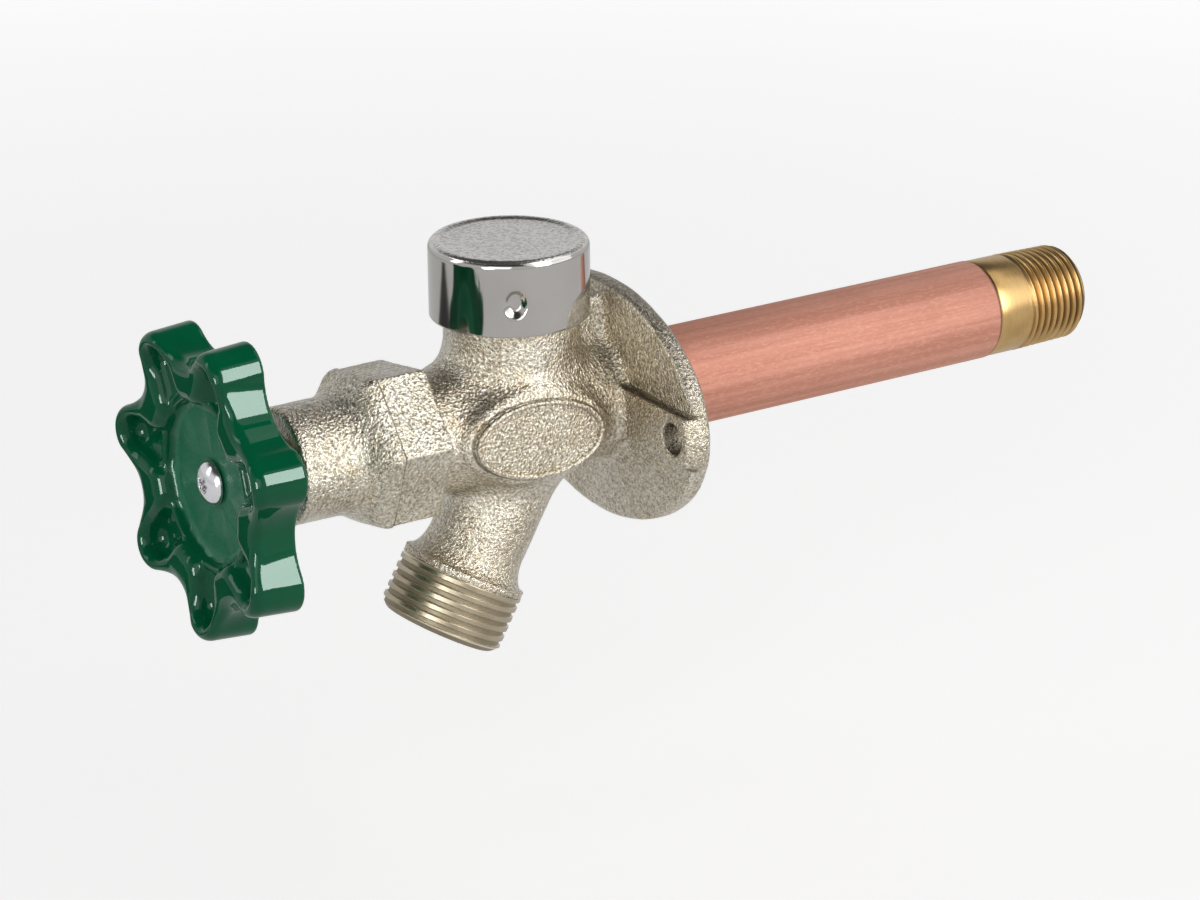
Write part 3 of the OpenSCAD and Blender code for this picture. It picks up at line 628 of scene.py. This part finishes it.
nut = {"sides": 6, "flats": 31.75, "turn": 9.5, "corner": 0.25, "back": 49.3, "backEdge": 1.2,
       "coined": 0.5, "hexEnd": 61.0, "hexLap": 0.5, "collarEnd": 65.6, "collarRound": 4.6,
       "collarCorner": 1.4, "fillet": 5.0, "nose": 12.4, "noseEnd": 81.0, "noseEdge": 0.9, "noseSunk": 4.0,
       "bore": 7.95, "boreFrom": 73.3, "shelf": 70.3, "stemHole": 5.3, "thread": 9.9, "threadEnd": 35.5,
       "threadLap": 1.0, "inside": 7.8, "boreEdge": 0.4, "over": 2.0,
       "low": (-19.5, -82, -19.5), "high": (19.5, -34.5, 19.5), "step": 0.36, "seed": 11}


def hexGaps(x, z):                          # two hexagons, with sharp and with round corners
    sharp = soft = None
    for side in range(nut["sides"]):        # flats lie between the corners
        a = math.radians(nut["turn"]) + (2 * side + 1) * math.pi / nut["sides"]
        gap = x * math.cos(a) + z * math.sin(a) - nut["flats"] / 2
        sharp = gap if side == 0 else softMax(sharp, gap, nut["corner"])
        soft = gap if side == 0 else softMax(soft, gap, nut["collarCorner"])
    return sharp, soft


def nutField(p):
    its = nut
    x, o, z = p[:, 0], -p[:, 1], p[:, 2]
    rho = np.hypot(x, z)
    sharp, soft = hexGaps(x, z)
    flats = softMax(sharp + its["coined"], its["back"] - o, its["backEdge"])   # pressed in, behind a collar
    flats = np.maximum(flats, o - its["hexEnd"] - its["hexLap"])
    collar = np.maximum(roundBox(soft, o - its["collarEnd"], its["collarRound"]), its["hexEnd"] - o)
    nose = softMax(rho - its["nose"], slab(o, its["back"] + its["noseSunk"], its["noseEnd"]), its["noseEdge"])
    tail = np.maximum(rho - its["thread"], slab(o, its["threadEnd"], its["back"] + its["threadLap"]))
    solid = np.minimum(np.minimum(flats, softMin(collar, nose, its["fillet"])), tail)
    over = its["over"]
    drill = bored((rho - its["bore"], slab(o, its["boreFrom"], its["noseEnd"] + over)),
                  (rho - its["inside"], slab(o, its["threadEnd"] - over, its["shelf"])),
                  (rho - its["stemHole"], slab(o, its["shelf"] - over, its["boreFrom"] + over)))
    return softMax(solid, -drill, its["boreEdge"])


nutShadeLine = {"at": 0.06085, "line": (0.00034, 0.00012), "out": (0.0142, 0.0150)}


def collarPaintedShade(f):                        # a painted shade line where the nut's flats meet its collar
    gap = f.size(f.axis("Y") + nutShadeLine["at"])
    return f.step(gap, *nutShadeLine["line"]) * f.step(f.away(middle, tubeWay), *nutShadeLine["out"])


castNut = castPlate("cast_nut", light=(0.69, 0.645, 0.545), dark=(0.57, 0.515, 0.41), size=0.64, depth=0.50,
                    shadeMask=collarPaintedShade)
point, quads = sandCast(nutField, nut)
makePiece("nut_casting", point, quads, castNut, "tap_body", ["packing_nut"])


# handle

wheel = {"lobes": 7, "tip": 33.3, "lobe": 6.0, "valley": 26.0, "turn": 18.5, "wall": 2.6, "draft": 0.9,
         "back": 90.9, "backEdge": 0.8, "tipFront": 102.5, "valleyFront": 100.6, "rise": (24.0, 30.3),
         "lip": 2.8, "webBack": 93.2, "webFront": 95.8, "dish": 16.3, "flare": 0.208, "dishFoot": 1.4,
         "dishEdge": 3.2, "slotTip": 25.6, "slotEnd": 3.1, "slotMouth": 4.6, "slotFloor": 96.4,
         "slotFlare": 0.14, "slotFoot": 2.2, "slotEdge": 2.8,
         "sill": 17.7, "sillTop": 98.5, "sillRound": 1.2, "underEdge": 0.6,
         "hub": 8.5, "hubBack": 83.5, "hubLap": 1.2, "hubEdge": 0.8, "hubFoot": 1.0, "square": 3.275,
         "squareFront": 94.6, "screw": 2.7, "boreEdge": 0.3, "over": 3.0,
         "low": (-34.5, -103.5, -34.5), "high": (34.5, -82.5, 34.5), "step": 0.42}
lobeCentre = wheel["tip"] - wheel["lobe"]
halfStep = math.pi / wheel["lobes"]
lobeAlong = lobeCentre * math.cos(halfStep)
dipRadius = ((lobeCentre ** 2 + wheel["valley"] ** 2 - 2 * wheel["valley"] * lobeAlong - wheel["lobe"] ** 2)
             / (2 * (wheel["lobe"] - wheel["valley"] + lobeAlong)))
dipCentre = wheel["valley"] + dipRadius
dipU, dipV = dipCentre * math.cos(halfStep), dipCentre * math.sin(halfStep)
meet = math.atan2(dipV, dipU - lobeCentre)


def lobePlace(x, z):                        # place along and beside the nearest lobe's axis
    rho, turn = np.hypot(x, z), np.arctan2(z, x) - math.radians(wheel["turn"])
    turn = np.abs((turn + halfStep) % (2 * halfStep) - halfStep)
    return rho, rho * np.cos(turn), rho * np.sin(turn)


def lobeGap(u, v):                          # distance to the scalloped outline
    lobe = np.hypot(u - lobeCentre, v) - wheel["lobe"]
    dip = dipRadius - np.hypot(u - dipU, v - dipV)
    return np.where(np.arctan2(v, u - lobeCentre) < meet, lobe, dip)


def slotField(rho, u, v, o):                # a hollow lobe, with a sill towards the dish
    its = wheel
    t = np.clip(u / its["slotTip"], 0, 1)
    side = its["slotMouth"] + (its["slotEnd"] - its["slotMouth"]) * t
    side = side + its["slotFlare"] * (o - its["slotFloor"])
    slot = roundBox(np.hypot(u - t * its["slotTip"], v) - side, its["slotFloor"] - o, its["slotFoot"])
    top = np.maximum(o - its["sillTop"] + its["sillRound"], 0)
    sill = np.hypot(rho - its["sill"], top) - its["sillRound"]
    return softMax(slot, -sill, its["sillRound"])


def wheelField(p):
    its = wheel
    x, o, z = p[:, 0], -p[:, 1], p[:, 2]
    rho, u, v = lobePlace(x, z)
    up = np.clip((o - its["back"]) / (its["tipFront"] - its["back"]), 0, 1)
    gap = lobeGap(u, v) + its["draft"] * up * ease(its["valley"], its["tip"], rho)
    front = its["valleyFront"] + (its["tipFront"] - its["valleyFront"]) * ease(*its["rise"], rho)
    solid = softMax(roundBox(gap, o - front, its["lip"]), its["back"] - o, its["backEdge"])
    dish = rho - its["dish"] - its["flare"] * (o - its["webFront"])
    solid = softMax(solid, -roundBox(dish, its["webFront"] - o, its["dishFoot"]), its["dishEdge"])
    solid = softMax(solid, -slotField(rho, u, v, o), its["slotEdge"])
    under = np.maximum(np.maximum(gap + its["wall"], o - its["webBack"]), its["hub"] - rho)
    solid = softMax(solid, -under, its["underEdge"])
    hub = softMax(rho - its["hub"], slab(o, its["hubBack"], its["webFront"] - its["hubLap"]), its["hubEdge"])
    solid = softMin(solid, hub, its["hubFoot"])
    over, squareGap = its["over"], np.maximum(np.abs(x), np.abs(z)) - its["square"]
    drill = bored((squareGap, slab(o, its["hubBack"] - over, its["squareFront"])),
                  (rho - its["screw"], slab(o, its["squareFront"] - over, its["webFront"] + over)))
    return softMax(solid, -drill, its["boreEdge"])


wheelLook = {"speck": (0.55, 2.0, 0.6), "flow": (9, 1.0), "light": (0.0, 0.112, 0.044),
             "dark": (0.0, 0.150, 0.060), "floor": (-0.0968, -0.0961), "floorOut": (0.0172, 0.0160),
             "dullFloorSheen": (0.05, 0.27, 0.15), "dullLeast": 0.4, "dullMore": 0.6, "rough": 0.05,
             "roughDull": 0.20, "flowHigh": 0.6, "speckHigh": 0.03, "speckDull": 1.3,
             "depth": 0.08, "strength": 0.5, "mirror": 0.28, "mirrorTint": (0.82, 1.0, 0.93)}


def greenEnamel(its):                       # glossy, with a duller, speckled floor in the dish, painted lighter as a painted sheen
    f = Finish("green_enamel")
    speck, flow = f.lumps(*its["speck"]), f.lumps(*its["flow"])
    flat = f.step(f.axis("Y"), *its["floor"]) * f.step(f.away(middle, tubeWay), *its["floorOut"])
    shade = f.mixed(flow, its["light"], its["dark"])
    # the floor's lighter tone is partly its duller speckled finish and partly painted sheen
    shade = f.mixed(flat * (its["dullLeast"] + its["dullMore"] * speck), shade, its["dullFloorSheen"])
    bumps = its["flowHigh"] * flow + (its["speckHigh"] + its["speckDull"] * flat) * speck
    return f.surface(Base_Color=shade, Roughness=its["rough"] + its["roughDull"] * flat,
                     Specular_IOR_Level=its["mirror"], Specular_Tint=its["mirrorTint"],
                     Normal=f.relief(bumps, its["depth"], its["strength"]))


enamel = greenEnamel(wheelLook)
point, quads = netSurface(wheelField, wheel["low"], wheel["high"], wheel["step"])
wheelPiece = makePiece("handle_wheel", point, quads, enamel, "handle_and_stem", ["handle"])


# handle screw

screw = {"under": 95.8, "head": 4.8, "dome": 2.7, "headEdge": 0.3, "shank": 2.4, "length": 11.0, "lap": 0.5,
         "arm": 2.6, "armHalf": 0.55, "armTaper": 0.45, "armEdge": 0.3, "diagonal": 0.7, "deep": 1.7,
         "crossEdge": 0.25, "low": (-5.2, -99.2, -5.2), "high": (5.2, -84.4, 5.2), "step": 0.16}


def screwField(p):
    its = screw
    x, o, z = p[:, 0], -p[:, 1] - its["under"], p[:, 2]
    rho = np.hypot(x, z)
    dome = np.sqrt((rho / its["head"]) ** 2 + (np.maximum(o, 0) / its["dome"]) ** 2)
    head = softMax((dome - 1) * its["dome"], -o, its["headEdge"])
    shank = np.maximum(rho - its["shank"], slab(o, -its["length"], its["lap"]))
    reach = its["arm"] * (1 - its["armTaper"] * (its["dome"] - o) / its["deep"])
    arms = [softMax(np.abs(u) - reach, np.abs(v) - its["armHalf"], its["armEdge"])
            for u, v in ((x + z, x - z), (x - z, x + z))]
    cross = np.maximum(np.minimum(*arms) * its["diagonal"], its["dome"] - its["deep"] - o)
    return softMax(np.minimum(head, shank), -cross, its["crossEdge"])


brightScrew = machined("bright_screw", light=(0.84, 0.84, 0.86), dark=(0.74, 0.74, 0.77), rough=0.10,
                       streak=(0.6, 0.6, 0.6), depth=0.01)
point, quads = netSurface(screwField, screw["low"], screw["high"], screw["step"])
makePiece("screw_head", point, quads, brightScrew, "handle_and_stem", ["handle_screw"])


# vacuum breaker cap

cap = {"out": 25.4, "radius": 16.8, "sheet": 0.9, "base": 22.6, "top": 38.8, "round": 1.6, "roundRows": 9,
       "dimples": 3, "turn": -27.0, "dimpleZ": 29.8, "dimpleWide": 2.9, "dimpleHigh": 3.7, "dimpleDeep": 1.25,
       "dimpleSpan": (0.35, 1.0), "skirtFrom": 0.25, "skirtStep": 0.3, "skirtInside": 2.5, "columns": 360,
       "hem": ((0.9, 0.1), (0.45, 0.0), (0.1, 0.1)),   # in from the skirt, up from the base
       "face": ((14.6, 0.05), (14.1, 0.3), (13.6, 0.36), (9.0, 0.33), (2.0, 0.3), (0.2, 0.3), (0.01, 0.3)),
       "inside": ((0.01, 1.1), (13.8, 1.1), (15.9, 2.2))}   # radius, and depth below the top, as the face has


def dented(its, r, z):                      # punched dimples in the skirt
    dent = np.zeros(its["columns"])
    for turn in math.radians(its["turn"]) + around(its["dimples"]):
        away = (around(its["columns"]) - turn + math.pi) % (2 * math.pi) - math.pi
        far = np.hypot(away * its["radius"] / its["dimpleWide"], (z - its["dimpleZ"]) / its["dimpleHigh"])
        dent += its["dimpleDeep"] * (1 - ease(*its["dimpleSpan"], far))
    return np.full(its["columns"], r) - dent


def capRows(its):
    radius, top, corner = its["radius"], its["top"], its["round"]
    hem = [(radius - inward, its["base"] + up) for inward, up in its["hem"]]
    edge = [(radius - corner * (1 - math.sin(a)), top - corner * (1 - math.cos(a)))
            for a in np.linspace(math.pi / 2, 0, its["roundRows"])]
    cover = [(r, top - below) for r, below in its["face"] + its["inside"]]
    skirt = np.arange(its["base"] + its["skirtFrom"], top - corner, its["skirtStep"])
    outer = [(dented(its, radius, z), z) for z in skirt]
    inner = [(dented(its, radius - its["sheet"], z), z) for z in skirt[::-1] if z < top - its["skirtInside"]]
    return plainRows(hem, its["columns"]) + outer + plainRows(edge + cover, its["columns"]) + inner


capLook = {"stipple": (0.75, 2.0, 0.6), "patch": 8, "light": (0.53, 0.51, 0.485), "dark": (0.47, 0.45, 0.43),
           "field": (0.0381, 0.03845), "litTopTone": (0.76, 0.735, 0.71), "stippleSpan": (0.42, 0.66),
           "stippleTone": (0.50, 0.48, 0.465), "rough": 0.06, "roughField": 0.16, "roughPatch": 0.05,
           "depth": 0.14, "strength": 0.8}


def pressedPlate(its):                      # bright sides and a duller stippled top, the top painted lighter as painted light
    f = Finish("bright_cap")
    stipple, patch = f.lumps(*its["stipple"]), f.lumps(its["patch"])
    field = f.step(f.axis("Z"), *its["field"])
    shade = f.mixed(patch, its["light"], its["dark"])
    # painted light: the stippled top is laid a lighter tone than the sides
    shade = f.mixed(field, shade, its["litTopTone"])
    shade = f.mixed(field * f.step(stipple, *its["stippleSpan"]), shade, its["stippleTone"])
    rough = its["rough"] + its["roughField"] * field + its["roughPatch"] * patch
    return f.surface(Base_Color=shade, Metallic=1.0, Roughness=rough,
                     Normal=f.relief(stipple * field, its["depth"], its["strength"]))


brightCap = pressedPlate(capLook)
point, quads = spun(capRows(cap), cap["columns"])
point = placed(point, (0, -cap["out"], 0), upWay)
makePiece("cap_pressing", point, quads, brightCap, "tap_body", ["vacuum_breaker_cap"])


# CAD nodes, each with the finish of its slot

metals = {
    "brass": {"light": (0.72, 0.55, 0.25), "dark": (0.62, 0.46, 0.20), "rough": 0.24,
              "streak": (0.3, 3.0, 0.3)},
    "bright_ring": {"light": (0.78, 0.75, 0.68), "dark": (0.66, 0.62, 0.54), "rough": 0.16,
                    "streak": (0.3, 3.0, 0.3)},
    "steel_pin": {"light": (0.58, 0.58, 0.57), "dark": (0.48, 0.48, 0.47), "rough": 0.28,
                  "streak": (0.3, 3.0, 3.0)}}
solids = {
    "black_rubber": {"light": (0.025, 0.025, 0.025), "dark": (0.05, 0.05, 0.05), "rough": 0.55, "size": 0.6},
    "fibre": {"light": (0.16, 0.11, 0.07), "dark": (0.26, 0.19, 0.12), "rough": 0.75, "size": 0.5},
    "packing": {"light": (0.06, 0.06, 0.06), "dark": (0.12, 0.12, 0.12), "rough": 0.6, "size": 0.8},
    "float_plastic": {"light": (0.80, 0.78, 0.72), "dark": (0.74, 0.72, 0.65), "rough": 0.4, "size": 1.2}}
slotFinish = {"cast_body": castBody, "cast_nut": castNut, "copper": copper, "inlet_brass": inletBrass,
              "bright_cap": brightCap, "green_enamel": enamel, "bright_screw": brightScrew}
slotFinish.update({name: machined(name, **its) for name, its in metals.items()})
slotFinish.update({name: plainSolid(name, **its) for name, its in solids.items()})
for row in frame["record"]["subparts"]:
    node = frame["nodes"][row["node"]]
    node.data.materials.clear()
    node.data.materials.append(slotFinish[row["material_slot"]].material)
print("finishes made:", len(slotFinish))


# stage

def staged(name, size, place, finish):
    u, v = size[0] / 2, size[1] / 2
    mesh = bpy.data.meshes.new(name)
    mesh.from_pydata([(-u, -v, 0), (u, -v, 0), (u, v, 0), (-u, v, 0)], [], [(0, 1, 2, 3)])
    mesh.materials.append(finish.material)
    card = bpy.data.objects.new(name, mesh)
    card.location = place
    bpy.context.scene.collection.objects.link(card)
    return card


white = (1, 1, 1)
floor = {"size": (8, 8), "place": (0, 0, -0.11), "matte": (0.62, 0.62, 0.62), "far": (0.25, 1.6),
         "near": 0.60, "farMore": 0.4, "mirrored": 0.36}


def paleFloor(its):                         # white to the camera, and it keeps the shadow
    f = Finish("pale_floor")
    camera, glossy, through = f.rays()
    far = f.step(f.away(middle, upWay), *its["far"])
    lift = camera * (its["near"] + its["farMore"] * far) + (glossy + through) * its["mirrored"]
    matte = f.node("BsdfDiffuse", None, {"Color": its["matte"]})
    glow = f.node("Emission", None, {"Color": white, "Strength": lift})
    return f.close(f.node("AddShader", None, {0: matte, 1: glow}))


staged("floor", floor["size"], floor["place"], paleFloor(floor))

flag = {"size": (0.20, 0.17), "place": (-0.24, -0.275, -0.107), "shade": (0.10, 0.10, 0.10)}
darkCard = Finish("dark_card").surface(Base_Color=flag["shade"], Roughness=1.0, Specular_IOR_Level=0.0)
card = staged("dark_card", flag["size"], flag["place"], darkCard)   # keeps glare off the wheel's front
card.visible_camera = card.visible_diffuse = card.visible_shadow = card.visible_transmission = False

studio = {"mirrored": 0.72, "ceilingLess": 0.66, "ceiling": (0.36, 0.72), "fill": 0.24}
world = bpy.data.worlds.new("studio")
bpy.context.scene.world = world
world.use_nodes = True
sky = Finish("studio", world.node_tree, "Generated")
camera, glossy, through = sky.rays()
shown = studio["mirrored"] - studio["ceilingLess"] * sky.step(sky.axis("Z"), *studio["ceiling"])
hidden = 1.0 - camera - glossy - through
back = world.node_tree.nodes["Background"]  # white where seen, with a dark ceiling in reflections
sky.feed(back.inputs["Color"], white)
sky.feed(back.inputs["Strength"], camera + (glossy + through) * shown + hidden * studio["fill"])


# lamps

def areaLamp(name, size, watts, place, turn):
    data = bpy.data.lights.new(name, "AREA")
    data.shape = "RECTANGLE"
    data.size, data.size_y = size
    data.energy = watts
    lamp = bpy.data.objects.new(name, data)
    lamp.location = place
    lamp.rotation_euler = turn
    bpy.context.scene.collection.objects.link(lamp)
    return lamp


lamps = {"key_box": {"place": (0.69, 0.49, 0.53), "size": (1.20, 0.95), "watts": 3.8},
         "top_box": {"place": (0.05, 0.50, 0.86), "size": (0.50, 0.40), "watts": 0.8},
         "front_box": {"place": (0.75, -0.75, 0.35), "size": (0.6, 0.6), "watts": 1.6},
         "left_strip": {"place": (-0.35, -0.80, 0.45), "size": (0.2, 0.6), "watts": 1.0}}
aim = Vector((0, -0.02, 0))
for name, its in lamps.items():
    turn = (aim - Vector(its["place"])).to_track_quat("-Z", "Y").to_euler()
    areaLamp(name, its["size"], its["watts"], its["place"], turn)

# soft panels, mirrored by the lobes' outer faces and by the wheel's edges: the enamel gets both kinds
panels = {"soft_strip": {"toward": (0.801, 0.350, 0.426), "size": (0.68, 0.36), "reach": 0.98},
          "soft_window": {"toward": (0.520, -0.845, 0.125), "size": (0.34, 0.26), "reach": 0.95}}
kinds = {"metal": {"bright": 6.6, "near": 1.0}, "wheel": {"bright": 14.0, "near": 0.96}}
wheelMiddle = Vector((0, -0.095, 0))
enamelled = bpy.data.collections.new("enamelled")
enamelled.objects.link(wheelPiece)
for name, its in panels.items():
    outward = Vector(its["toward"]).normalized()
    along = Vector((-outward.z, 0, outward.x)).normalized()
    turn = Matrix((along, outward.cross(along), outward)).transposed().to_euler()
    for kind, share in kinds.items():
        watts = share["bright"] * math.pi * its["size"][0] * its["size"][1]
        place = outward * its["reach"] * share["near"] + wheelMiddle
        lamp = areaLamp(name + "_" + kind, its["size"], watts, place, turn)
        lamp.visible_diffuse = lamp.visible_transmission = False
        if kind == "wheel":
            lamp.light_linking.receiver_collection = enamelled


# camera

shot = {"azimuth": 57.499, "elevation": 20.802, "roll": -0.518, "distance": 861.767,
        "target": (0, -3.482, -12.699), "focal": 4037.239, "wide": 1200, "sensor": 36, "clip": (0.01, 50)}
azimuth, elevation, roll = (math.radians(shot[key]) for key in ("azimuth", "elevation", "roll"))
flat = math.cos(elevation)
backward = Vector((math.sin(azimuth) * flat, -math.cos(azimuth) * flat, math.sin(elevation)))
right = Vector((math.cos(azimuth), math.sin(azimuth), 0))
up = backward.cross(right)
rolledRight = right * math.cos(roll) + up * math.sin(roll)
rolledUp = up * math.cos(roll) - right * math.sin(roll)
lens = bpy.data.cameras.new("camera")
lens.sensor_width = shot["sensor"]
lens.lens = shot["focal"] * shot["sensor"] / shot["wide"]
lens.clip_start, lens.clip_end = shot["clip"]
eye = bpy.data.objects.new("camera", lens)
place = (Vector(shot["target"]) + backward * shot["distance"]) * mm
eye.matrix_world = Matrix.Translation(place) @ Matrix((rolledRight, rolledUp, backward)).transposed().to_4x4()
bpy.context.scene.collection.objects.link(eye)
bpy.context.scene.camera = eye
bpy.context.scene.view_settings.view_transform = "Standard"
print("stage, lamps and camera set")
